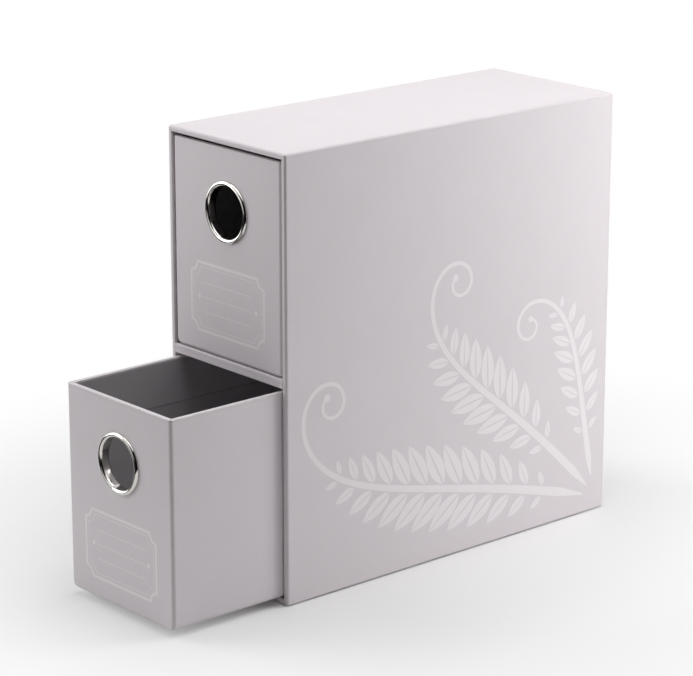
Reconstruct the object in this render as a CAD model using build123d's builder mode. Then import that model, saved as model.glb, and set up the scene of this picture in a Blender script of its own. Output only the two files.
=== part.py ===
from build123d import *
import math
import os

# Two-drawer card box: a board case covered in paper, a shelf across its middle, and two
# open-topped drawers that slide out of the front on their own covering paper.
# Millimetres. Origin at the centre of the case's underside, +X to the right,
# +Y towards the back, +Z up. The upper drawer is shut and the lower one stands open.

# ---- Driving dimensions: case ----
case_width = 88.6
case_depth = 220.0
case_height = 225.0
wall_board = 2.5  # board of the five walls
shelf_board = 2.0  # board of each half of the shelf
paper = 0.2  # covering and lining paper
base_paper = 0.3  # sheet that closes the underside
base_margin = 1.8  # the base sheet stops this far short of the walls' faces
case_turn_in = 12.0  # the covering paper folds this far into the mouth
case_edge_radius = 1.2
board_easing = 0.6  # bevel on a board's outer edge, as a share of its paper's inner radius
mouth_edge_radius = 0.5  # the paper over a cut edge of board
shelf_seam_radius = 0.3  # the same where the two shelf halves meet at the front

# ---- Driving dimensions: drawers ----
drawer_board = 2.3
side_gap = 0.8  # running clearance on each side
floor_gap = 0.4  # clearance under a drawer
head_gap = 1.65  # clearance over a drawer
front_recess = 0.4  # a shut drawer's front lies this far inside the case's front
back_gap = 1.0
drawer_turn_in = 23.0  # the covering paper folds this far down inside the rim
lining_drop = 1.0  # the lining starts this far below the rim
drawer_bottom_radius = 3.2  # along the two long bottom edges
drawer_edge_radius = 1.8  # round the front and back faces, except at the rim
rim_crease = 0.35  # bevel where the paper turns over a cut edge of the rim
lower_drawer_open = 67.3

# ---- Driving dimensions: thumb ring ----
ring_bore_radius = 12.9
ring_flange_radius = 15.6
ring_curl_radius = 14.4  # outer radius of the curl that grips the washer
ring_sheet = 0.5  # sheet metal of the ring
ring_drop = 31.3  # from the rim down to the ring's centre
ring_hole_clearance = 0.1  # between the ring's barrel and the front it passes through
washer_radius = 15.9
washer_thickness = 0.4
flange_steps = 4  # flats that make up the half-round front of the ring
curl_steps = 3  # the same for the curl behind

# ---- Places that follow from them ----
case_wall = wall_board + 2 * paper
inner_width = case_width - 2 * case_wall
front_y = -case_depth / 2
back_y = case_depth / 2
inner_back_y = back_y - case_wall
lower_floor_z = base_paper + case_wall
inner_top_z = case_height - case_wall
shelf_half_thickness = shelf_board + 2 * paper
compartment_height = (inner_top_z - lower_floor_z) / 2 - shelf_half_thickness
shelf_bottom_z = lower_floor_z + compartment_height
shelf_middle_z = shelf_bottom_z + shelf_half_thickness
shelf_top_z = shelf_middle_z + shelf_half_thickness

drawer_wall = drawer_board + 2 * paper
drawer_width = inner_width - 2 * side_gap
drawer_height = compartment_height - floor_gap - head_gap
drawer_length = inner_back_y - back_gap - (front_y + front_recess)
ring_barrel_radius = ring_bore_radius + ring_sheet
ring_hole_radius = ring_barrel_radius + ring_hole_clearance


def block(x_span, y_span, z_span, mode=Mode.ADD):
    """A box between the given limits, in the sub-part that is being built."""
    spans = (x_span, y_span, z_span)
    with Locations(tuple((low + high) / 2 for low, high in spans)):
        Box(*(high - low for low, high in spans), mode=mode)


def both_sides(half_width):
    """The span from -half_width to +half_width."""
    return (-half_width, half_width)


def save(piece, label):
    """Labels a finished piece and writes it."""
    piece.part.label = label
    export_step(piece.part, f"parts/{label}.step")


def round_or_ease(edges, radius, skin):
    """Rounds the paper's outer edges, and bevels the board's edges under them."""
    if skin == 0:
        fillet(edges, radius=radius)
    else:
        chamfer(edges, length=board_easing * (radius - skin))


def case_walls(skin):
    """The case's five walls as one body, with `skin` off every face.

    The board's cut edges round the mouth are sharp, and only the paper over them is rounded.
    """
    with BuildPart() as walls:
        block(
            both_sides(case_width / 2 - skin),
            (front_y + skin, back_y - skin),
            (base_paper + skin, case_height - skin),
        )
        round_or_ease(walls.edges(), case_edge_radius, skin)
        block(
            both_sides(inner_width / 2 + skin),
            (front_y, inner_back_y + skin),
            (lower_floor_z - skin, inner_top_z + skin),
            mode=Mode.SUBTRACT,
        )
        if skin == 0:
            mouth = walls.faces().sort_by(Axis.Y)[0].inner_wires()[0]
            fillet(mouth.edges(), radius=mouth_edge_radius)
    return walls.part


def make_case_boards():
    """Cuts the body under the paper into the boards that it is glued up from."""
    core = case_walls(paper)
    side_x = inner_width / 2 + paper
    back_plane_y = inner_back_y + paper
    top_plane_z = inner_top_z + paper
    bottom_plane_z = lower_floor_z - paper
    whole_y = (front_y, back_y)
    whole_z = (0, case_height)
    between = both_sides(side_x)
    before_back = (front_y, back_plane_y)
    boards = {
        "left_wall_board": ((-case_width / 2, -side_x), whole_y, whole_z),
        "right_wall_board": ((side_x, case_width / 2), whole_y, whole_z),
        "back_wall_board": (between, (back_plane_y, back_y), whole_z),
        "top_wall_board": (between, before_back, (top_plane_z, case_height)),
        "bottom_wall_board": (between, before_back, (0, bottom_plane_z)),
    }
    for label, spans in boards.items():
        with BuildPart() as board:
            add(core)
            block(*spans, mode=Mode.INTERSECT)
        save(board, label)


def make_case_papers():
    """Covering paper outside, lining inside, and the sheet that closes the underside."""
    lined = (
        both_sides(inner_width / 2 + paper),
        (front_y + case_turn_in, inner_back_y + paper),
        (lower_floor_z - paper, inner_top_z + paper),
    )
    with BuildPart() as case_wrap:
        add(case_walls(0))
        add(case_walls(paper), mode=Mode.SUBTRACT)
        block(*lined, mode=Mode.SUBTRACT)
    save(case_wrap, "case_wrap")

    with BuildPart() as case_lining:
        block(*lined)
        block(
            both_sides(inner_width / 2),
            (front_y, inner_back_y),
            (lower_floor_z, inner_top_z),
            mode=Mode.SUBTRACT,
        )
    save(case_lining, "case_lining")

    with BuildPart() as base_sheet:
        block(
            both_sides(case_width / 2 - base_margin),
            both_sides(case_depth / 2 - base_margin),
            (0, base_paper),
        )
    save(base_sheet, "base_sheet")


def shelf_half(skin, bottom_z, outer_is_up):
    """Half the shelf, with `skin` off its front, top and underside, and its paper rounded."""
    with BuildPart() as half:
        block(
            both_sides(inner_width / 2),
            (front_y + skin, inner_back_y),
            (bottom_z + skin, bottom_z + shelf_half_thickness - skin),
        )
        if skin == 0:
            front_edges = half.edges().filter_by(Axis.X).group_by(Axis.Y)[0].sort_by(Axis.Z)
            seam_edge, outer_edge = front_edges if outer_is_up else front_edges[::-1]
            fillet(outer_edge, radius=mouth_edge_radius)
            fillet(seam_edge, radius=shelf_seam_radius)
    return half.part


def make_shelf():
    """Two boards back to back, each with its own paper folded round it from the front."""
    for level, bottom_z in (("lower", shelf_bottom_z), ("upper", shelf_middle_z)):
        outer_is_up = level == "upper"
        with BuildPart() as shelf_board:
            add(shelf_half(paper, bottom_z, outer_is_up))
        save(shelf_board, f"shelf_{level}_board")

        with BuildPart() as shelf_wrap:
            add(shelf_half(0, bottom_z, outer_is_up))
            add(shelf_half(paper, bottom_z, outer_is_up), mode=Mode.SUBTRACT)
        save(shelf_wrap, f"shelf_{level}_wrap")


def drawer_walls(skin, drawer_front_y, bottom_z):
    """A drawer's five walls as one body, with `skin` off every face and its paper rim eased."""
    top_z = bottom_z + drawer_height
    drawer_back_y = drawer_front_y + drawer_length
    with BuildPart() as walls:
        block(
            both_sides(drawer_width / 2 - skin),
            (drawer_front_y + skin, drawer_back_y - skin),
            (bottom_z + skin, top_z - skin),
        )
        long_bottom_edges = walls.edges().filter_by(Axis.Y).group_by(Axis.Z)[0]
        fillet(long_bottom_edges, radius=drawer_bottom_radius - skin)
        end_faces = walls.faces().sort_by(Axis.Y)
        end_edges = end_faces[0].edges() + end_faces[-1].edges()
        round_or_ease(end_edges.group_by(Axis.Z)[:-1], drawer_edge_radius, skin)
        block(
            both_sides(drawer_width / 2 - drawer_wall + skin),
            (drawer_front_y + drawer_wall - skin, drawer_back_y - drawer_wall + skin),
            (bottom_z + drawer_wall - skin, top_z),
            mode=Mode.SUBTRACT,
        )
        if skin == 0:
            chamfer(walls.faces().sort_by(Axis.Z)[-1].edges(), length=rim_crease)
    return walls.part


def make_drawer(prefix, drawer_front_y, bottom_z):
    """Boards, papers, thumb ring and washer of one drawer."""
    top_z = bottom_z + drawer_height
    drawer_back_y = drawer_front_y + drawer_length
    ring_z = top_z - ring_drop
    core = drawer_walls(paper, drawer_front_y, bottom_z)
    covered = drawer_walls(0, drawer_front_y, bottom_z)
    cavity_x = drawer_width / 2 - drawer_wall
    cavity_y = (drawer_front_y + drawer_wall, drawer_back_y - drawer_wall)
    cavity_floor_z = bottom_z + drawer_wall
    board_x = cavity_x + paper
    board_y = (cavity_y[0] - paper, cavity_y[1] + paper)
    board_floor_z = cavity_floor_z - paper
    hole_plane = Plane.XZ.offset(-drawer_front_y)
    through_front = -2 * drawer_wall

    boards = {
        "front": (both_sides(drawer_width / 2), (drawer_front_y, board_y[0]), (bottom_z, top_z)),
        "back": (both_sides(drawer_width / 2), (board_y[1], drawer_back_y), (bottom_z, top_z)),
        "left": ((-drawer_width / 2, -board_x), board_y, (bottom_z, top_z)),
        "right": ((board_x, drawer_width / 2), board_y, (bottom_z, top_z)),
        "floor": (both_sides(board_x), board_y, (bottom_z, board_floor_z)),
    }
    for place, spans in boards.items():
        with BuildPart() as board:
            add(core)
            block(*spans, mode=Mode.INTERSECT)
            if place == "front":
                with BuildSketch(hole_plane):
                    with Locations((0, ring_z)):
                        Circle(ring_hole_radius)
                extrude(amount=through_front, mode=Mode.SUBTRACT)
        save(board, f"{prefix}_drawer_{place}_board")

    turn_in_z = top_z - drawer_turn_in
    with BuildPart() as wrap:
        add(covered)
        add(core, mode=Mode.SUBTRACT)
        block(both_sides(board_x), board_y, (board_floor_z, turn_in_z), mode=Mode.SUBTRACT)
        with BuildSketch(hole_plane):
            with Locations((0, ring_z)):
                Circle(ring_hole_radius)
        extrude(amount=through_front, mode=Mode.SUBTRACT)
    save(wrap, f"{prefix}_drawer_wrap")

    # The lining lies on the boards, steps out over the folded-in covering paper and stops
    # short of the rim.
    step_z = turn_in_z - paper
    with BuildPart() as lining:
        block(both_sides(board_x), board_y, (board_floor_z, turn_in_z))
        block(both_sides(cavity_x), cavity_y, (step_z, top_z - lining_drop))
        block(both_sides(cavity_x), cavity_y, (cavity_floor_z, step_z), mode=Mode.SUBTRACT)
        block(
            both_sides(cavity_x - paper),
            (cavity_y[0] + paper, cavity_y[1] - paper),
            (step_z, top_z),
            mode=Mode.SUBTRACT,
        )
        with BuildSketch(hole_plane):
            with Locations((0, ring_z)):
                Circle(ring_hole_radius)
        extrude(amount=through_front, mode=Mode.SUBTRACT)
    save(lining, f"{prefix}_drawer_lining")

    washer_y = drawer_front_y + drawer_wall + paper
    make_ring(prefix, drawer_front_y, washer_y, ring_z)


def half_round(inner_radius, outer_radius, base_y, outwards, steps):
    """Corners of a half-round bead in the ring's section, from its outer edge to its inner."""
    middle_radius = (inner_radius + outer_radius) / 2
    bead_radius = (outer_radius - inner_radius) / 2
    angles = [math.radians(180 * step / steps) for step in range(steps + 1)]
    return [
        (
            middle_radius + bead_radius * math.cos(angle),
            base_y + outwards * bead_radius * math.sin(angle),
        )
        for angle in angles
    ]


def make_ring(prefix, flange_y, washer_y, ring_z):
    """A metal ring: half-round flange on the front, barrel, and a curl over a washer behind."""
    curl_y = washer_y + washer_thickness
    flange = half_round(ring_bore_radius, ring_flange_radius, flange_y, -1, flange_steps)
    curl = half_round(ring_bore_radius, ring_curl_radius, curl_y, 1, curl_steps)
    barrel = [(ring_barrel_radius, curl_y), (ring_barrel_radius, flange_y)]

    with BuildPart() as ring:
        with BuildSketch(Plane.XY.offset(ring_z)):
            with BuildLine():
                Polyline(*flange, *curl[::-1], *barrel, close=True)
            make_face()
        revolve(axis=Axis((0, 0, ring_z), (0, 1, 0)))
    save(ring, f"{prefix}_thumb_ring")

    with BuildPart() as washer:
        with BuildSketch(Plane.XZ.offset(-washer_y)):
            with Locations((0, ring_z)):
                Circle(washer_radius)
                Circle(ring_hole_radius, mode=Mode.SUBTRACT)
        extrude(amount=-washer_thickness)
    save(washer, f"{prefix}_ring_washer")


os.makedirs("parts", exist_ok=True)
make_case_boards()
make_case_papers()
make_shelf()
shut_y = front_y + front_recess
make_drawer("upper", shut_y, shelf_top_z + floor_gap)
make_drawer("lower", shut_y - lower_drawer_open, lower_floor_z + floor_gap)
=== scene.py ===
"""The looks of a two-drawer card box: covering papers, linings, metal thumb rings and printing."""
import math
from contextlib import contextmanager

import bmesh
import bpy
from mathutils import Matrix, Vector


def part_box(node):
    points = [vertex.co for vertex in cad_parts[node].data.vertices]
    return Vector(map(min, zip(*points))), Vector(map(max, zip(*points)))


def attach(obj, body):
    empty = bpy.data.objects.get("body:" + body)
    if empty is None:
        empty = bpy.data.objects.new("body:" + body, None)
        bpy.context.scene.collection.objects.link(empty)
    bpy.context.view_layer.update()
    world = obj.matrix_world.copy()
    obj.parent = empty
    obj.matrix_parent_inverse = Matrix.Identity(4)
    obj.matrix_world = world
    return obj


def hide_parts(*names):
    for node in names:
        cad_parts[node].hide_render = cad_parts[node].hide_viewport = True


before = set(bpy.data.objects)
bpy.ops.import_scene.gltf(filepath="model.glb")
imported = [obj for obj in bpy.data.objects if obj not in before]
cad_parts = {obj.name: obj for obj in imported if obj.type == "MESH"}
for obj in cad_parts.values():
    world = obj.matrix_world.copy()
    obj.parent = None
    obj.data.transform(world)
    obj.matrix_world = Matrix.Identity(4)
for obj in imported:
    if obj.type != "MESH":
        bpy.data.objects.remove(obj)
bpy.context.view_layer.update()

MM = 0.001

# ---- Papers and boards ----
paper = 0.2 * MM
case_edge_radius = 1.2 * MM
mouth_edge_radius = 0.5 * MM
drawer_turn_in = 23.0 * MM  # the covering paper folds this far down inside a drawer's rim
drawer_bottom_radius = 3.2 * MM
drawer_edge_radius = 1.8 * MM
rim_edge_radius = 0.5 * MM
fold_steps = 5  # strips round a folded edge
rim_steps = 3  # strips where the paper turns over a cut edge of board
fold_angle = math.radians(35)  # folds sharper than this keep a crease in their shading
rim_wall = 2.7 * MM  # how far the mitre lines at a rim's corners reach in from its outer edge
place_slack = 0.1 * MM  # allowed when faces and edges are picked by their place
lap_inset = 13.0 * MM  # from a back wall's left edge to the covering paper's lap

# ---- Thumb rings ----
ring_bore_radius = 12.9 * MM
ring_barrel_radius = 13.4 * MM
ring_hole_radius = 13.5 * MM
ring_curl_radius = 14.4 * MM
ring_turns = 120  # segments round the ring
bead_steps = 10  # strips across its half-round front
curl_steps = 8  # the same for the curl behind
bead_angle = math.radians(50)  # creases sharper than this stay in the ring's shading
punch_length = 20.0 * MM  # of the punch that cuts the thumb hole

# ---- Printing ----
print_thickness = 0.03 * MM
print_sink = 0.01 * MM  # how far the ink's back lies inside the paper
label_width = 57.0 * MM
label_height = 36.0 * MM
label_drop = 77.0 * MM  # from the drawer's rim to the label's middle
label_corner = 5.0 * MM  # radius of the hollow bites out of its corners
label_line = 1.5 * MM
label_inner_line = 0.4 * MM
label_line_gap = 1.2 * MM
rule_length = 38.0 * MM
rule_spacing = 7.4 * MM
rule_thickness = 0.4 * MM
lozenge_size = 2.2 * MM
lozenge_gap = 1.2  # from a rule's end to the lozenge's middle, in lozenge sizes
bar_softening = 0.3  # how much of a bar's lesser side its corners are cut back by
bar_corner_steps = 3
bite_steps = 8  # strips round a hollow bite
bite_profile = 0.08  # how far a bite curves inwards: 0 is a square notch, 0.25 is straight

# Fern fronds printed on the case's right side. Lengths are in millimetres along the side (from its
# middle towards the back) and up it; angles are in degrees, anticlockwise from straight back.
FRONDS = (
    {
        "root": (94, 11), "set_out": 163, "bend": 14, "curl": -500, "lateness": 6.5, "length": 286,
        "width": 4.8, "leaf": 29, "pairs": 13, "first": 0.11, "last": 0.62,
    },
    {
        "root": (97, 15), "set_out": 134, "bend": 22, "curl": -470, "lateness": 6.0, "length": 234,
        "width": 4.4, "leaf": 26, "pairs": 10, "first": 0.19, "last": 0.62,
    },
    {
        "root": (100, 20), "set_out": 101, "bend": -4, "curl": 430, "lateness": 5.0, "length": 165,
        "width": 3.8, "leaf": 18, "pairs": 8, "first": 0.16, "last": 0.60,
    },
)
stem_steps = 140
leaf_breadth = 0.27  # how far a leaf's edge is drawn out, as a share of its length
leaf_gap = 0.9  # millimetres of bare paper between a leaf and its stem
leaf_lean = 55  # degrees between a leaf and its stem at the root
leaf_lean_drop = 14  # how many degrees less it is at the tip
leaf_shrink = 0.25  # how much shorter leaves are at the tip, as a share
leaf_swell = 0.7  # below 1, more of a frond's leaves are near its longest
stem_taper = 0.72  # how much of its width a stem loses from root to tip
stem_least_width = 0.3  # millimetres
root_share = 0.1  # width at the very root, as a share
root_length = 0.07  # share of the stem over which the root widens
knob_size = 0.42  # radius of the stem's end knob, in stem widths
knob_points = 24
curve_steps = 8  # straight pieces along each curved side of a leaf

# ---- Surface detail. Scales are per metre; a fade gives where a mask starts and where it is full ----
cloud_scale = 45.0
felt_scale = 1400.0
fibre_scale = 2600.0
fibre_stretch = (1.0, 0.35, 0.12)
felt_share = 0.6  # of the paper's relief; the fibres make up the rest
felt_gloss_shift = 0.25  # how much the felted grain varies the roughness
# Painted shade along the covers' folded edges, broken up by noise: its patches, reach and depth
fold_shade_patch_scale = 220.0
fold_shade_patch_fade = (0.25, 0.75)
fold_shade_least = 0.4  # how much of the painted shade is left where the noise is weakest
fold_shade_reach = 2.2 * MM  # from a folded edge
fold_shade_darkening = 0.08
mitre_fade = (0.24 * MM, 0.05 * MM)
mitre_wall_fade = (1.1, 1.0)  # in from the outer edge, in wall thicknesses
mitre_depth_fade = (0.9 * MM, 0.4 * MM)  # in from the rim
lap_fade = (0.22 * MM, 0.04 * MM)
lap_depth_fade = (0.6 * MM, 0.3 * MM)  # in from the back
seam_darkening = 0.22
seam_depth = 3.0  # against a height of 1 for the paper's grain
# Painted shadow under a lining's step over the turned-in paper's end, and the step's faint bump
step_shadow_fade = (0.45 * MM, 0.08 * MM)
step_shadow_darkening = 0.35
step_depth = 2.0
patch_scale = 160.0
patch_fade = (0.45, 0.75)
hairline_scale = 2200.0
hairline_stretch = (1.0, 6.0, 1.0)
hairline_haze = 0.05  # roughness that the hairline marks add
polish_roughness = 0.08
plating_haze = 0.10  # roughness that the hazy patches add
plating_tone = (0.62, 0.597, 0.572)
lining_relief = 0.03 * MM
plating_relief = 0.002 * MM
relief_strength = 0.6

# ---- Camera, at the photograph's angle ----
camera_azimuth = math.radians(48.81)
camera_elevation = math.radians(16.35)
camera_distance = 1.4463
camera_aim = Vector((-0.0037, -0.0300, 0.1104))
camera_lens = 148.8
camera_sensor = 36.0

# ---- Studio, in metres ----
card_radius = 1.15
card_height = 1.6
card_half_angle = math.radians(50)
card_turns = 72
card_tone = 0.01
table_middle = (0.06, -0.06)
table_radius = 0.31
table_outer_radius = 1.2
table_turns = 96
table_card_rise = 2.0 * MM  # above the floor's level
floor_size = 8.0
floor_drop = 0.1 * MM  # the floor lies this far under the box, so that the two never coincide
floor_tone = 0.88
floor_shadow_reach = 0.08  # from the box's middle; the floor fades to white from here
floor_white_reach = 0.34  # and is white from here on

DRAWERS = ("upper", "lower")


# ======================= Modelling helpers =======================


def select_only(*pieces):
    """Selects these objects and nothing else, and makes the first one active."""
    bpy.ops.object.select_all(action="DESELECT")
    for piece in pieces:
        piece.select_set(True)
    bpy.context.view_layer.objects.active = pieces[0]


@contextmanager
def editing(piece):
    """Edit mode on one piece, with nothing selected."""
    select_only(piece)
    bpy.ops.object.mode_set(mode="EDIT")
    bpy.ops.mesh.select_all(action="DESELECT")
    yield
    bpy.ops.object.mode_set(mode="OBJECT")


def pick(piece, kind, wanted):
    """In edit mode, selects the faces, edges or points that are wanted, and nothing else."""
    bpy.ops.mesh.select_mode(type=kind)
    bpy.ops.mesh.select_all(action="DESELECT")
    mesh = bmesh.from_edit_mesh(piece.data)
    elements = {"VERT": mesh.verts, "EDGE": mesh.edges, "FACE": mesh.faces}[kind]
    for element in elements:
        if wanted(element):
            element.select_set(True)
    mesh.select_flush_mode()
    bmesh.update_edit_mesh(piece.data)


def ends_all(edge, test):
    """Whether both ends of an edge pass a test on their place."""
    return all(test(corner.co) for corner in edge.verts)


def near(value, target, reach=0.02 * MM):
    """Whether two lengths are the same, but for rounding."""
    return abs(value - target) < reach


def finish_modifier(piece, kind, **settings):
    """Adds a modifier, sets it and applies it."""
    select_only(piece)
    modifier = piece.modifiers.new(kind.lower(), kind)
    for name, value in settings.items():
        setattr(modifier, name, value)
    bpy.ops.object.modifier_apply(modifier=modifier.name)


def place_in_mesh(piece):
    """Puts the object's place, turn and scale into its mesh."""
    select_only(piece)
    bpy.ops.object.transform_apply(location=True, rotation=True, scale=True)


def smooth_folds(piece):
    """Smooth shading over folds, with the flat panels left flat."""
    select_only(piece)
    bpy.ops.object.shade_smooth_by_angle(angle=fold_angle)
    finish_modifier(piece, "WEIGHTED_NORMAL", keep_sharp=True, weight=50)


def start_block(name, low, high):
    """A cube that fills the box between two corners."""
    bpy.ops.object.select_all(action="DESELECT")
    bpy.ops.mesh.primitive_cube_add(size=1, location=(low + high) / 2)
    block = bpy.context.object
    block.name = block.data.name = name
    block.scale = high - low
    place_in_mesh(block)
    return block


def dress(piece, material, body, slot, *nodes):
    """Gives a finished piece its material and body, and hides the CAD nodes it stands for; its slot is not
    used.
    """
    piece.data.materials.clear()
    piece.data.materials.append(material)
    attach(piece, body)
    if nodes:
        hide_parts(*nodes)


# ======================= Material helpers =======================


def place(tree, kind, inputs=None, **settings):
    """Adds a shader node, sets its properties, and sets or links its inputs."""
    node = tree.nodes.new(kind)
    for name, value in settings.items():
        setattr(node, name, value)
    for socket, value in (inputs or {}).items():
        if isinstance(value, bpy.types.NodeSocket):
            tree.links.new(value, node.inputs[socket])
        else:
            node.inputs[socket].default_value = value
    return node


def maths(tree, operation, *values, clamp=False):
    """A Math node's result."""
    inputs = dict(enumerate(values))
    return place(tree, "ShaderNodeMath", inputs, operation=operation, use_clamp=clamp).outputs[0]


def vector_maths(tree, operation, *values):
    """A Vector Math node's result."""
    inputs = dict(enumerate(values))
    return place(tree, "ShaderNodeVectorMath", inputs, operation=operation).outputs[0]


def noise(tree, position, scale, detail=2.0, roughness=0.5):
    """A Noise texture's value, about 0.5 on average."""
    inputs = {"Vector": position, "Scale": scale, "Detail": detail, "Roughness": roughness}
    return place(tree, "ShaderNodeTexNoise", inputs).outputs["Fac"]


def smooth_range(tree, value, start, end):
    """0 at start and 1 at end, with a soft rise between."""
    inputs = {"Value": value, "From Min": start, "From Max": end}
    node = place(tree, "ShaderNodeMapRange", inputs, interpolation_type="SMOOTHSTEP")
    return node.outputs["Result"]


def start_group(name, inputs, outputs):
    """A shader node group with named sockets, and its input and output nodes."""
    group = bpy.data.node_groups.new(name, "ShaderNodeTree")
    for in_out, sockets in (("INPUT", inputs), ("OUTPUT", outputs)):
        for socket_name, kind in sockets.items():
            group.interface.new_socket(socket_name, in_out=in_out, socket_type=f"NodeSocket{kind}")
    entry = group.nodes.new("NodeGroupInput")
    leave = group.nodes.new("NodeGroupOutput")
    return group, entry.outputs, leave.inputs


def scaled_tone(tree, tone, factor):
    """A colour made lighter or darker by a factor."""
    grey = place(tree, "ShaderNodeCombineXYZ", {"X": factor, "Y": factor, "Z": factor}).outputs[0]
    return vector_maths(tree, "MULTIPLY", tone, grey)


# ======================= Shared surface effects =======================


def make_paper_grain():
    """Matt paper: slow clouding of its tone, fine felted grain and longer fibres."""
    group, given, out = start_group(
        "paper_grain",
        {"Position": "Vector", "Tone": "Color", "Clouding": "Float", "Grain": "Float", "Gloss": "Float"},
        {"Color": "Color", "Roughness": "Float", "Height": "Float"},
    )
    cloud = noise(group, given["Position"], cloud_scale, detail=3.0, roughness=0.6)
    felt = noise(group, given["Position"], felt_scale, detail=3.0, roughness=0.65)
    along = vector_maths(group, "MULTIPLY", given["Position"], fibre_stretch)
    fibres = noise(group, along, fibre_scale, detail=2.0)
    cloud_shift = maths(group, "MULTIPLY", maths(group, "SUBTRACT", cloud, 0.5), given["Clouding"])
    felt_shift = maths(group, "MULTIPLY", maths(group, "SUBTRACT", felt, 0.5), given["Grain"])
    shift = maths(group, "ADD", maths(group, "ADD", cloud_shift, felt_shift), 1.0)
    group.links.new(scaled_tone(group, given["Tone"], shift), out["Color"])
    rough_shift = maths(group, "MULTIPLY", maths(group, "SUBTRACT", felt, 0.5), felt_gloss_shift)
    group.links.new(maths(group, "ADD", given["Gloss"], rough_shift, clamp=True), out["Roughness"])
    felt_height = maths(group, "MULTIPLY", felt, felt_share)
    fibre_height = maths(group, "MULTIPLY", fibres, 1.0 - felt_share)
    group.links.new(maths(group, "ADD", felt_height, fibre_height), out["Height"])
    return group


def make_fold_shade():
    """How near a point is to a folded edge of a box-shaped cover, broken up by noise: the mask of the painted
    shade along the folds.
    """
    group, given, out = start_group(
        "fold_shade",
        {"Position": "Vector", "Centre": "Vector", "Half Size": "Vector", "Reach": "Float"},
        {"Mask": "Float"},
    )
    from_centre = vector_maths(group, "SUBTRACT", given["Position"], given["Centre"])
    how_far = vector_maths(group, "ABSOLUTE", from_centre)
    past_face = vector_maths(group, "SUBTRACT", how_far, given["Half Size"])
    split = place(group, "ShaderNodeSeparateXYZ", {0: past_face}).outputs
    low_pair = maths(group, "MINIMUM", split[0], split[1])
    high_pair = maths(group, "MAXIMUM", split[0], split[1])
    middle = maths(group, "MAXIMUM", low_pair, maths(group, "MINIMUM", high_pair, split[2]))
    distance = maths(group, "MULTIPLY", middle, -1.0)
    closeness = maths(group, "SUBTRACT", 1.0, maths(group, "DIVIDE", distance, given["Reach"]), clamp=True)
    # Noise breaks up the painted shade along the folds.
    shade_patches = smooth_range(group, noise(group, given["Position"], fold_shade_patch_scale, detail=4.0), *fold_shade_patch_fade)
    kept = maths(group, "ADD", maths(group, "MULTIPLY", shade_patches, 1.0 - fold_shade_least), fold_shade_least)
    group.links.new(maths(group, "MULTIPLY", closeness, kept), out["Mask"])
    return group


def make_rim_mitre():
    """The fine mitre line that the turned-in paper leaves at each corner of an open rim."""
    group, given, out = start_group(
        "rim_mitre",
        {
            "Across": "Float", "Along": "Float", "Half Across": "Float", "Half Along": "Float",
            "Depth": "Float", "Wall": "Float",
        },
        {"Mask": "Float"},
    )
    from_side = maths(group, "SUBTRACT", given["Half Across"], maths(group, "ABSOLUTE", given["Across"]))
    from_end = maths(group, "SUBTRACT", given["Half Along"], maths(group, "ABSOLUTE", given["Along"]))
    apart = maths(group, "ABSOLUTE", maths(group, "SUBTRACT", from_side, from_end))
    line = smooth_range(group, apart, *mitre_fade)
    on_wall = smooth_range(group, maths(group, "DIVIDE", from_side, given["Wall"]), *mitre_wall_fade)
    on_rim = smooth_range(group, given["Depth"], *mitre_depth_fade)
    group.links.new(maths(group, "MULTIPLY", maths(group, "MULTIPLY", line, on_wall), on_rim), out["Mask"])
    return group


def make_paper_lap():
    """The thin edge where the covering paper's end laps over its beginning, up a back wall."""
    group, given, out = start_group(
        "paper_lap", {"Across": "Float", "Lap Place": "Float", "Depth": "Float"}, {"Mask": "Float"}
    )
    apart = maths(group, "ABSOLUTE", maths(group, "SUBTRACT", given["Across"], given["Lap Place"]))
    line = smooth_range(group, apart, *lap_fade)
    on_back = smooth_range(group, given["Depth"], *lap_depth_fade)
    group.links.new(maths(group, "MULTIPLY", line, on_back), out["Mask"])
    return group


def make_fold_step_shadow():
    """Mask of the painted shadow under the step, at one height, where a lining runs over the end of the
    turned-in paper.
    """
    group, given, out = start_group(
        "fold_step_shadow", {"Height": "Float", "Step Height": "Float"}, {"Mask": "Float"}
    )
    apart = maths(group, "ABSOLUTE", maths(group, "SUBTRACT", given["Height"], given["Step Height"]))
    group.links.new(smooth_range(group, apart, *step_shadow_fade), out["Mask"])
    return group


def make_metal_polish():
    """Polished plating: a few hazy patches and fine hairline marks round the ring."""
    group, given, out = start_group(
        "metal_polish",
        {"Position": "Vector", "Haze": "Float"},
        {"Roughness": "Float", "Height": "Float"},
    )
    patches = smooth_range(group, noise(group, given["Position"], patch_scale, detail=3.0), *patch_fade)
    stretched = vector_maths(group, "MULTIPLY", given["Position"], hairline_stretch)
    hairlines = noise(group, stretched, hairline_scale)
    haze = maths(group, "MULTIPLY", patches, given["Haze"])
    lines = maths(group, "MULTIPLY", hairlines, hairline_haze)
    rough = maths(group, "ADD", maths(group, "ADD", haze, lines), polish_roughness)
    group.links.new(rough, out["Roughness"])
    group.links.new(hairlines, out["Height"])
    return group


paper_grain = make_paper_grain()
fold_shade = make_fold_shade()
rim_mitre = make_rim_mitre()
paper_lap = make_paper_lap()
fold_step_shadow = make_fold_step_shadow()
metal_polish = make_metal_polish()


# ======================= Materials =======================


def start_material(name, metallic=0.0, specular=0.5):
    """An empty Principled material. Gives it, its tree, its shader and the Object coordinates."""
    material = bpy.data.materials.new(name)
    material.use_nodes = True
    tree = material.node_tree
    shader = tree.nodes["Principled BSDF"]
    shader.inputs["Metallic"].default_value = metallic
    shader.inputs["Specular IOR Level"].default_value = specular
    position = place(tree, "ShaderNodeTexCoord").outputs["Object"]
    return material, tree, shader, position


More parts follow.
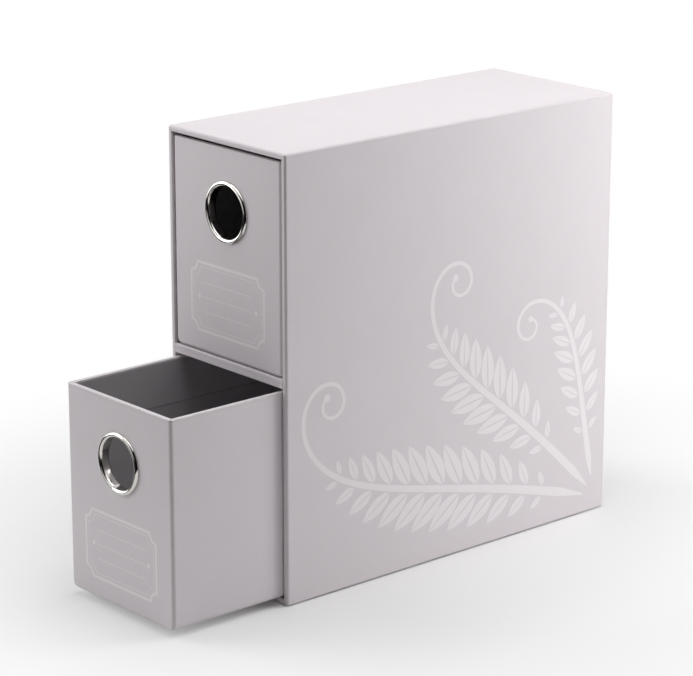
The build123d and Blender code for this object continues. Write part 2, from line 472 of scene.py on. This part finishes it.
def join_bump(tree, shader, height, distance):
    """Feeds a height into the shader's normal."""
    relief = {"Height": height, "Distance": distance, "Strength": relief_strength}
    bump = place(tree, "ShaderNodeBump", relief)
    tree.links.new(bump.outputs["Normal"], shader.inputs["Normal"])


def use_group(tree, group, inputs):
    """Places a shared effect and sets or links its inputs."""
    return place(tree, "ShaderNodeGroup", inputs, node_tree=group).outputs


def paper_material(name, tone, clouding, grain, gloss, relief, specular=0.35, cover=None, rim=None):
    """Paper of one tone. A cover's node adds painted shade along its folds, rim mitres ("front" or "top") and
    its lap.
    """
    material, tree, shader, position = start_material(name, specular=specular)
    sheet = {"Position": position, "Tone": (*tone, 1.0), "Clouding": clouding, "Grain": grain, "Gloss": gloss}
    surface = use_group(tree, paper_grain, sheet)
    colour, height = surface["Color"], surface["Height"]
    if cover:
        low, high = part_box(cover)
        half = (high - low) / 2
        folds = {"Position": position, "Centre": (low + high) / 2, "Half Size": half, "Reach": fold_shade_reach}
        fold_shade_mask = use_group(tree, fold_shade, folds)["Mask"]
        from_centre = vector_maths(tree, "SUBTRACT", position, (low + high) / 2)
        x, y, z = place(tree, "ShaderNodeSeparateXYZ", {0: from_centre}).outputs
        if rim == "front":
            corners = {"Along": z, "Half Along": half.z, "Depth": maths(tree, "ADD", y, half.y)}
        else:
            corners = {"Along": y, "Half Along": half.y, "Depth": maths(tree, "SUBTRACT", half.z, z)}
        corners.update({"Across": x, "Half Across": half.x, "Wall": rim_wall})
        mitre = use_group(tree, rim_mitre, corners)["Mask"]
        lap_at = {"Across": x, "Lap Place": lap_inset - half.x, "Depth": maths(tree, "SUBTRACT", half.y, y)}
        seams = maths(tree, "MAXIMUM", mitre, use_group(tree, paper_lap, lap_at)["Mask"])
        # Painted shade along the folded edges darkens the tone, and so do the seam lines.
        fold_shading = maths(tree, "MULTIPLY", fold_shade_mask, fold_shade_darkening)
        darker = maths(tree, "ADD", fold_shading, maths(tree, "MULTIPLY", seams, seam_darkening))
        colour = scaled_tone(tree, colour, maths(tree, "SUBTRACT", 1.0, darker))
        height = maths(tree, "SUBTRACT", height, maths(tree, "MULTIPLY", seams, seam_depth))
    tree.links.new(colour, shader.inputs["Base Color"])
    tree.links.new(surface["Roughness"], shader.inputs["Roughness"])
    join_bump(tree, shader, height, relief)
    return material


def lining_material(name, step_height=None):
    """Lining paper. In a drawer a painted shadow line, with a faint bump, marks where it covers the turned-in
    paper's end.
    """
    material, tree, shader, position = start_material(name, specular=0.3)
    sheet = {
        "Position": position, "Tone": (*lining_tone, 1.0), "Clouding": 0.16, "Grain": 0.25, "Gloss": 0.70,
    }
    surface = use_group(tree, paper_grain, sheet)
    colour, height = surface["Color"], surface["Height"]
    if step_height is not None:
        z = place(tree, "ShaderNodeSeparateXYZ", {0: position}).outputs["Z"]
        # Painted shadow line where the lining steps over the turned-in paper.
        step = use_group(tree, fold_step_shadow, {"Height": z, "Step Height": step_height})["Mask"]
        darker = maths(tree, "MULTIPLY", step, step_shadow_darkening)
        colour = scaled_tone(tree, colour, maths(tree, "SUBTRACT", 1.0, darker))
        height = maths(tree, "SUBTRACT", height, maths(tree, "MULTIPLY", step, step_depth))
    tree.links.new(colour, shader.inputs["Base Color"])
    tree.links.new(surface["Roughness"], shader.inputs["Roughness"])
    join_bump(tree, shader, height, lining_relief)
    return material


def plating_material():
    """Polished nickel plate."""
    material, tree, shader, position = start_material("nickel_plate", metallic=1.0)
    shader.inputs["Base Color"].default_value = (*plating_tone, 1.0)
    polish = use_group(tree, metal_polish, {"Position": position, "Haze": plating_haze})
    tree.links.new(polish["Roughness"], shader.inputs["Roughness"])
    join_bump(tree, shader, polish["Height"], plating_relief)
    return material


cover_tone = (0.712, 0.668, 0.693)
ink_tone = (0.835, 0.800, 0.820)
lining_tone = (0.500, 0.482, 0.500)
board_tone = (0.330, 0.305, 0.270)

cover_look = {"tone": cover_tone, "clouding": 0.05, "grain": 0.06, "gloss": 0.50, "relief": 0.02 * MM}
case_paper = paper_material("case_paper", **cover_look, cover="case_wrap", rim="front")
drawer_papers = {
    k: paper_material(f"{k}_drawer_paper", **cover_look, cover=f"{k}_drawer_wrap", rim="top")
    for k in DRAWERS
}
case_lining_paper = lining_material("case_lining_paper")
drawer_lining_papers = {
    k: lining_material(f"{k}_drawer_lining_paper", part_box(f"{k}_drawer_wrap")[1].z - drawer_turn_in)
    for k in DRAWERS
}
greyboard = paper_material(
    "greyboard", board_tone, clouding=0.20, grain=0.45, gloss=0.85, relief=0.06 * MM, specular=0.2
)
pale_ink = paper_material(
    "pale_ink", ink_tone, clouding=0.04, grain=0.05, gloss=0.42, relief=0.01 * MM, specular=0.4
)
nickel_plate = plating_material()


def finish_cad_node(node, material):
    """Gives a CAD node that stays in view its material."""
    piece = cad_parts[node]
    piece.data.materials.clear()
    piece.data.materials.append(material)


# ======================= Case =======================


def make_case_cover():
    """Covering paper of the case: folded round its edges and turned into the mouth."""
    low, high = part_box("case_wrap")
    lining_low, lining_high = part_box("case_lining")
    inner_half = lining_high.x - paper
    wall = high.x - inner_half
    turn_in = lining_low.y - low.y
    cover = start_block("case_cover", low, high)
    with editing(cover):
        bpy.ops.mesh.select_all(action="SELECT")
        bpy.ops.mesh.bevel(offset=case_edge_radius, segments=fold_steps, affect="EDGES")
        pick(cover, "FACE", lambda face: face.normal.y < -0.99)
        bpy.ops.mesh.inset(thickness=wall - case_edge_radius)
        bpy.ops.mesh.extrude_region_move(TRANSFORM_OT_translate={"value": (0, turn_in, 0)})
        bpy.ops.mesh.delete(type="FACE")
        mouth_low_z, mouth_high_z = low.z + wall, high.z - wall

        def on_mouth(at):
            inside = abs(at.x) < inner_half + place_slack
            between = mouth_low_z - place_slack < at.z < mouth_high_z + place_slack
            return near(at.y, low.y) and inside and between

        pick(cover, "EDGE", lambda edge: ends_all(edge, on_mouth))
        bpy.ops.mesh.bevel(offset=mouth_edge_radius, segments=rim_steps, affect="EDGES")
    finish_modifier(cover, "SOLIDIFY", thickness=paper, offset=-1, use_even_offset=True)
    smooth_folds(cover)
    dress(cover, case_paper, "case", "cover_paper", "case_wrap")


make_case_cover()
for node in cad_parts:
    if node.endswith("_board"):
        finish_cad_node(node, greyboard)
finish_cad_node("case_lining", case_lining_paper)
for k in DRAWERS:
    finish_cad_node(f"{k}_drawer_lining", drawer_lining_papers[k])
for node in ("shelf_lower_wrap", "shelf_upper_wrap", "base_sheet"):
    finish_cad_node(node, case_paper)


# ======================= Drawers =======================


def make_drawer_cover(k):
    """Covering paper of one drawer: round its outside, over the rim, and down inside."""
    low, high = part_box(f"{k}_drawer_wrap")
    lining_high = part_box(f"{k}_drawer_lining")[1]
    wall = high.x - (lining_high.x - paper)
    cover = start_block(f"{k}_drawer_cover", low, high)
    with editing(cover):
        pick(cover, "FACE", lambda face: face.normal.z > 0.99)
        bpy.ops.mesh.inset(thickness=wall)
        bpy.ops.mesh.extrude_region_move(TRANSFORM_OT_translate={"value": (0, 0, -drawer_turn_in)})
        bpy.ops.mesh.delete(type="FACE")

        def is_long_bottom(edge):
            return ends_all(edge, lambda at: near(at.z, low.z)) and near(
                edge.verts[0].co.x, edge.verts[1].co.x
            )

        pick(cover, "EDGE", is_long_bottom)
        bpy.ops.mesh.bevel(offset=drawer_bottom_radius, segments=2 * fold_steps, affect="EDGES")

        def is_end_edge(edge):
            on_rim = ends_all(edge, lambda at: near(at.z, high.z))
            on_end = any(ends_all(edge, lambda at: near(at.y, end)) for end in (low.y, high.y))
            return on_end and not on_rim

        pick(cover, "EDGE", is_end_edge)
        bpy.ops.mesh.bevel(offset=drawer_edge_radius, segments=fold_steps, affect="EDGES")

        def is_rim_edge(edge):
            on_rim = ends_all(edge, lambda at: near(at.z, high.z))
            return on_rim and any(face.normal.z < 0.9 for face in edge.link_faces)

        pick(cover, "EDGE", is_rim_edge)
        bpy.ops.mesh.bevel(offset=rim_edge_radius, segments=rim_steps, affect="EDGES")
    finish_modifier(cover, "SOLIDIFY", thickness=paper, offset=-1, use_even_offset=True)
    cut_thumb_hole(cover, k)
    smooth_folds(cover)
    dress(cover, drawer_papers[k], f"{k}_drawer", "cover_paper", f"{k}_drawer_wrap")


def cut_thumb_hole(cover, k):
    """Cuts the round hole that the thumb ring passes through."""
    ring_low, ring_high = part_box(f"{k}_thumb_ring")
    bpy.ops.object.select_all(action="DESELECT")
    bpy.ops.mesh.primitive_cylinder_add(
        vertices=ring_turns,
        radius=ring_hole_radius,
        depth=punch_length,
        location=(ring_low + ring_high) / 2,
        rotation=(math.radians(90), 0, 0),
    )
    punch = bpy.context.object
    finish_modifier(cover, "BOOLEAN", operation="DIFFERENCE", solver="EXACT", object=punch)
    bpy.data.objects.remove(punch)


def half_round(inner_radius, outer_radius, base_y, outwards, steps):
    """Points of a half-round bead in the ring's section, from its outer edge to its inner."""
    middle = (inner_radius + outer_radius) / 2
    bead = (outer_radius - inner_radius) / 2
    angles = [math.pi * step / steps for step in range(steps + 1)]
    return [(middle + bead * math.cos(a), base_y + outwards * bead * math.sin(a)) for a in angles]


def make_thumb_ring(k):
    """Metal thumb ring: half-round flange in front, barrel, and a curl over the washer behind."""
    low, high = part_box(f"{k}_thumb_ring")
    centre = (low + high) / 2
    flange_radius = (high.x - low.x) / 2
    flange_y = low.y + (flange_radius - ring_bore_radius) / 2
    curl_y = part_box(f"{k}_ring_washer")[1].y
    flange = half_round(ring_bore_radius, flange_radius, flange_y, -1, bead_steps)
    curl = half_round(ring_bore_radius, ring_curl_radius, curl_y, 1, curl_steps)
    barrel = [(ring_barrel_radius, curl_y), (ring_barrel_radius, flange_y)]
    section = [*flange, *curl[::-1], *barrel]

    bpy.ops.object.select_all(action="DESELECT")
    bpy.ops.mesh.primitive_circle_add(vertices=len(section), radius=1 * MM)
    ring = bpy.context.object
    ring.name = ring.data.name = f"{k}_thumb_rim"
    with editing(ring):
        mesh = bmesh.from_edit_mesh(ring.data)
        for point, (radius, y) in zip(mesh.verts, section):
            point.co = (centre.x + radius, y, centre.z)
        bmesh.update_edit_mesh(ring.data)
        bpy.ops.mesh.select_all(action="SELECT")
        middle = (centre.x, 0, centre.z)
        bpy.ops.mesh.spin(steps=ring_turns, angle=2 * math.pi, center=middle, axis=(0, 1, 0))
        bpy.ops.mesh.select_all(action="SELECT")
        bpy.ops.mesh.remove_doubles(threshold=0.001 * MM)
        bpy.ops.mesh.normals_make_consistent(inside=False)
    place_in_mesh(ring)
    select_only(ring)
    bpy.ops.object.shade_smooth_by_angle(angle=bead_angle)
    dress(ring, nickel_plate, f"{k}_drawer", "ring_metal", f"{k}_thumb_ring")


for k in DRAWERS:
    make_drawer_cover(k)
    make_thumb_ring(k)
    finish_cad_node(f"{k}_ring_washer", nickel_plate)


# ======================= Printing =======================


def lay_on(piece, turn, at):
    """Stands a flat piece, modelled on the ground plane, against a panel."""
    piece.rotation_euler = turn
    piece.location = at
    place_in_mesh(piece)


def join_pieces(name, pieces):
    """Joins pieces into one of that name."""
    select_only(*pieces)
    bpy.ops.object.join()
    joined = bpy.context.object
    joined.name = joined.data.name = name
    return joined


def make_bar(width, height, middle, turn=0.0):
    """A flat bar with softened ends, on the ground plane."""
    bpy.ops.object.select_all(action="DESELECT")
    bpy.ops.mesh.primitive_plane_add(size=1, location=(*middle, 0), rotation=(0, 0, turn))
    bar = bpy.context.object
    bar.scale = (width, height, 1)
    place_in_mesh(bar)
    with editing(bar):
        bpy.ops.mesh.select_all(action="SELECT")
        cut_back = bar_softening * min(width, height)
        bpy.ops.mesh.bevel(offset=cut_back, segments=bar_corner_steps, affect="VERTICES")
    return bar


def make_frame_line(width, height, corner, line):
    """A flat frame line whose corners are bitten out in hollow quarter circles."""
    bpy.ops.object.select_all(action="DESELECT")
    bpy.ops.mesh.primitive_plane_add(size=1)
    border = bpy.context.object
    border.scale = (width, height, 1)
    place_in_mesh(border)
    with editing(border):
        bpy.ops.mesh.select_all(action="SELECT")
        bpy.ops.mesh.bevel(offset=corner, segments=bite_steps, profile=bite_profile, affect="VERTICES")
        pick(border, "FACE", lambda face: True)
        bpy.ops.mesh.inset(thickness=line)
        bpy.ops.mesh.delete(type="FACE")
    return border


def make_label(k):
    """Printed index label on a drawer's front: a double frame, three ruled lines, two lozenges."""
    low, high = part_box(f"{k}_drawer_wrap")
    step_in = label_line + label_line_gap
    inner_width, inner_height = label_width - 2 * step_in, label_height - 2 * step_in
    parts = [
        make_frame_line(label_width, label_height, label_corner, label_line),
        make_frame_line(inner_width, inner_height, label_corner, label_inner_line),
    ]
    parts += [make_bar(rule_length, rule_thickness, (0, row * rule_spacing)) for row in (-1, 0, 1)]
    lozenge_out = rule_length / 2 + lozenge_gap * lozenge_size
    for side in (-1, 1):
        parts.append(make_bar(lozenge_size, lozenge_size, (side * lozenge_out, 0), math.radians(45)))
    label = join_pieces(f"{k}_drawer_label", parts)
    finish_modifier(label, "SOLIDIFY", thickness=print_thickness + print_sink, offset=1)
    lay_on(label, (math.radians(90), 0, 0), (0, low.y + print_sink, high.z - label_drop))
    dress(label, pale_ink, f"{k}_drawer", "cover_paper")


for k in DRAWERS:
    make_label(k)


def follow_stem(frond):
    """How far along the stem, where, which way it heads and how wide it is, from root to tip."""
    x, y = frond["root"]
    step_length = frond["length"] / stem_steps
    trail = []
    for step in range(stem_steps + 1):
        t = step / stem_steps
        curl = frond["curl"] * t ** frond["lateness"]
        heading = math.radians(frond["set_out"] + frond["bend"] * t + curl)
        root_taper = min(1.0, root_share + t / root_length)
        width = frond["width"] * (1 - stem_taper * t) * root_taper + stem_least_width
        trail.append((t, Vector((x, y)), heading, width))
        x += math.cos(heading) * step_length
        y += math.sin(heading) * step_length
    return trail


def towards(heading):
    """A step one unit long on the flat, in that heading."""
    return Vector((math.cos(heading), math.sin(heading)))


def filled_outline(name, outlines, kind="POLY"):
    """A flat filled curve made a mesh. Bezier outlines give a point, its handle before and after."""
    curve = bpy.data.curves.new(name, "CURVE")
    curve.dimensions = "2D"
    curve.fill_mode = "BOTH"
    curve.resolution_u = curve_steps
    for outline in outlines:
        spline = curve.splines.new(kind)
        spline.use_cyclic_u = True
        if kind == "POLY":
            spline.points.add(len(outline) - 1)
            for point, at in zip(spline.points, outline):
                point.co = (at.x, at.y, 0, 1)
        else:
            spline.bezier_points.add(len(outline) - 1)
            for point, (at, before, after) in zip(spline.bezier_points, outline):
                point.handle_left_type = point.handle_right_type = "FREE"
                point.co, point.handle_left, point.handle_right = (*at, 0), (*before, 0), (*after, 0)
    flat = bpy.data.objects.new(name, curve)
    bpy.context.scene.collection.objects.link(flat)
    select_only(flat)
    bpy.ops.object.convert(target="MESH")
    return bpy.context.object


def make_stem(frond):
    """A stem that tapers to its root and ends in a small round knob inside its curl."""
    trail = follow_stem(frond)
    left = [at + towards(heading + math.pi / 2) * width / 2 for _, at, heading, width in trail]
    right = [at - towards(heading + math.pi / 2) * width / 2 for _, at, heading, width in trail]
    _, tip, heading, width = trail[-1]
    knob = knob_size * frond["width"]
    opening = math.asin(width / 2 / knob)
    middle = tip + towards(heading) * knob * math.cos(opening)
    sweep = 2 * math.pi - 2 * opening
    turns = [math.pi - opening - sweep * i / knob_points for i in range(1, knob_points)]
    knob_edge = [middle + towards(heading + turn) * knob for turn in turns]
    return filled_outline("stem", [left + knob_edge + right[::-1]])


def make_leaf():
    """A pointed leaf one unit long, in two halves with bare paper between them along the midrib."""
    halves = []  # each of two points, with the handle before and after it
    for side in (1, -1):
        base = ((0, 0.016 * side), (0.3, 0.026 * side), (0.22, leaf_breadth * side))
        point = ((1, 0.004 * side), (0.66, 0.85 * leaf_breadth * side), (0.66, 0.014 * side))
        halves.append([base, point])
    return filled_outline("leaf", halves, "BEZIER")


def make_leaves(frond, leaf):
    """Copies of one leaf in pairs along a stem: longest in the middle, and leaning to the tip."""
    trail = follow_stem(frond)
    pairs, leaves = frond["pairs"], []
    for pair in range(pairs):
        t = frond["first"] + (frond["last"] - frond["first"]) * pair / (pairs - 1)
        step = int(t * stem_steps)
        share = t * stem_steps - step
        at = trail[step][1].lerp(trail[step + 1][1], share)
        heading, width = trail[step][2], trail[step][3]
        # Nearly a whole pair is added at each end, so that the end leaves keep some length.
        swell = math.sin(math.pi * (pair + 0.9) / (pairs + 0.8)) ** leaf_swell
        size = frond["leaf"] * swell * (1 - leaf_shrink * t)
        for side in (1, -1):
            lean = heading + side * math.radians(leaf_lean - leaf_lean_drop * t)
            edge = at + towards(heading + side * math.pi / 2) * width / 2 + towards(lean) * leaf_gap
            copy = leaf.copy()
            copy.data = leaf.data.copy()
            bpy.context.scene.collection.objects.link(copy)
            copy.location, copy.rotation_euler, copy.scale = (*edge, 0), (0, 0, lean), (size, size, 1)
            place_in_mesh(copy)
            leaves.append(copy)
    return leaves


def make_side_fern():
    """The fern printed in pale ink on the case's right side."""
    side_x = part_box("case_wrap")[1].x
    leaf = make_leaf()
    parts = []
    for frond in FRONDS:
        parts.append(make_stem(frond))
        parts += make_leaves(frond, leaf)
    bpy.data.objects.remove(leaf)
    fern = join_pieces("side_fern", parts)
    fern.scale = (MM, MM, MM)
    place_in_mesh(fern)
    finish_modifier(fern, "SOLIDIFY", thickness=print_thickness + print_sink, offset=1)
    lay_on(fern, (math.radians(90), 0, math.radians(90)), (side_x - print_sink, 0, 0))
    dress(fern, pale_ink, "case", "cover_paper")


make_side_fern()


# ======================= Camera, floor and light =======================


def make_camera():
    """The camera at the photograph's angle, aimed near the middle of the box."""
    back = Vector(
        (
            math.sin(camera_azimuth) * math.cos(camera_elevation),
            -math.cos(camera_azimuth) * math.cos(camera_elevation),
            math.sin(camera_elevation),
        )
    )
    data = bpy.data.cameras.new("camera")
    data.sensor_fit = "HORIZONTAL"
    data.sensor_width = camera_sensor
    data.lens = camera_lens
    camera = bpy.data.objects.new("camera", data)
    camera.location = camera_aim + back * camera_distance
    camera.rotation_euler = (math.radians(90) - camera_elevation, 0, camera_azimuth)
    bpy.context.scene.collection.objects.link(camera)
    bpy.context.scene.camera = camera


def make_lamp(name, place_at, aim_at, width, height, power):
    """A soft rectangular lamp that faces a point."""
    data = bpy.data.lights.new(name, "AREA")
    data.shape = "RECTANGLE"
    data.size, data.size_y, data.energy = width, height, power
    lamp = bpy.data.objects.new(name, data)
    lamp.location = place_at
    lamp.rotation_euler = (Vector(aim_at) - Vector(place_at)).to_track_quat("-Z", "Y").to_euler()
    bpy.context.scene.collection.objects.link(lamp)


def white_to_the_eye(tree):
    """1 for rays that show the background: straight from the camera, mirrored or through glass."""
    rays = place(tree, "ShaderNodeLightPath").outputs
    direct = maths(tree, "MAXIMUM", rays["Is Camera Ray"], rays["Is Transmission Ray"])
    return maths(tree, "MAXIMUM", direct, rays["Is Glossy Ray"])


def make_floor():
    """A plain white floor that keeps the box's shadow and runs out into the white background."""
    bpy.ops.object.select_all(action="DESELECT")
    bpy.ops.mesh.primitive_plane_add(size=floor_size, location=(0, 0, -floor_drop))
    floor = bpy.context.object
    floor.name = "floor"
    material, tree, shader, position = start_material("floor_white", specular=0.0)
    shader.inputs["Base Color"].default_value = (floor_tone, floor_tone, floor_tone, 1.0)
    shader.inputs["Roughness"].default_value = 1.0
    white = place(tree, "ShaderNodeEmission", {"Color": (1.0, 1.0, 1.0, 1.0), "Strength": 1.0})
    away = place(tree, "ShaderNodeVectorMath", {0: position}, operation="LENGTH").outputs["Value"]
    faded = smooth_range(tree, away, floor_shadow_reach, floor_white_reach)
    share = maths(tree, "MULTIPLY", faded, white_to_the_eye(tree))
    both = place(tree, "ShaderNodeMixShader", {0: share, 1: shader.outputs[0], 2: white.outputs[0]})
    tree.links.new(both.outputs[0], tree.nodes["Material Output"].inputs["Surface"])
    floor.data.materials.append(material)


def make_world():
    """A white background for the eye and for reflections. It adds no diffuse light to the object."""
    world = bpy.data.worlds.new("studio")
    bpy.context.scene.world = world
    world.use_nodes = True
    tree = world.node_tree
    background = tree.nodes["Background"]
    background.inputs["Color"].default_value = (1.0, 1.0, 1.0, 1.0)
    tree.links.new(white_to_the_eye(tree), background.inputs["Strength"])


def black_card_material():
    """Near-black matt card."""
    material, _, shader, _ = start_material("card_black", specular=0.0)
    shader.inputs["Base Color"].default_value = (card_tone, card_tone, card_tone, 1.0)
    return material


def make_dark_card(material):
    """A dark card round the camera's side, which the metal mirrors; the camera looks through it."""
    bpy.ops.object.select_all(action="DESELECT")
    bpy.ops.mesh.primitive_cylinder_add(
        vertices=card_turns,
        radius=card_radius,
        depth=card_height,
        location=(0, 0, card_height / 2),
        end_fill_type="NOTHING",
    )
    card = bpy.context.object
    card.name = "dark_card"
    camera_side = Vector((math.sin(camera_azimuth), -math.cos(camera_azimuth), 0))
    least = math.cos(card_half_angle)

    def is_away(face):
        outwards = face.calc_center_median().to_2d().to_3d().normalized()
        return outwards @ camera_side < least

    with editing(card):
        pick(card, "FACE", is_away)
        bpy.ops.mesh.delete(type="FACE")
    card.data.materials.append(material)
    card.visible_camera = False


def make_table_edge_card(material):
    """A dark flat ring that only reflections show, where the white table would end in a studio."""
    bpy.ops.object.select_all(action="DESELECT")
    bpy.ops.mesh.primitive_circle_add(
        vertices=table_turns,
        radius=table_outer_radius,
        fill_type="NGON",
        location=(*table_middle, table_card_rise),
    )
    card = bpy.context.object
    card.name = "table_edge_card"
    place_in_mesh(card)
    with editing(card):
        pick(card, "FACE", lambda face: True)
        bpy.ops.mesh.inset(thickness=table_outer_radius - table_radius)
        bpy.ops.mesh.delete(type="FACE")
    card.data.materials.append(material)
    card.visible_camera = card.visible_diffuse = False
    card.visible_shadow = card.visible_transmission = False


bpy.context.scene.view_settings.view_transform = "Standard"
make_camera()
make_floor()
black_card = black_card_material()
make_dark_card(black_card)
make_table_edge_card(black_card)
make_world()
make_lamp("overhead", (0, 0, 0.8), (0, 0, 0), width=0.5, height=0.5, power=3.0)
make_lamp("high_right", (0.48, -0.12, 1.1), (0, 0, 0.1), width=0.7, height=0.7, power=2.2)
make_lamp("back_right", (0.30, 0.36, 0.25), (0.044, 0.05, 0.11), width=0.3, height=0.5, power=1.8)
make_lamp("left", (-0.689, -0.579, 0.4), (0, -0.1, 0.1), width=0.6, height=0.8, power=5.3)
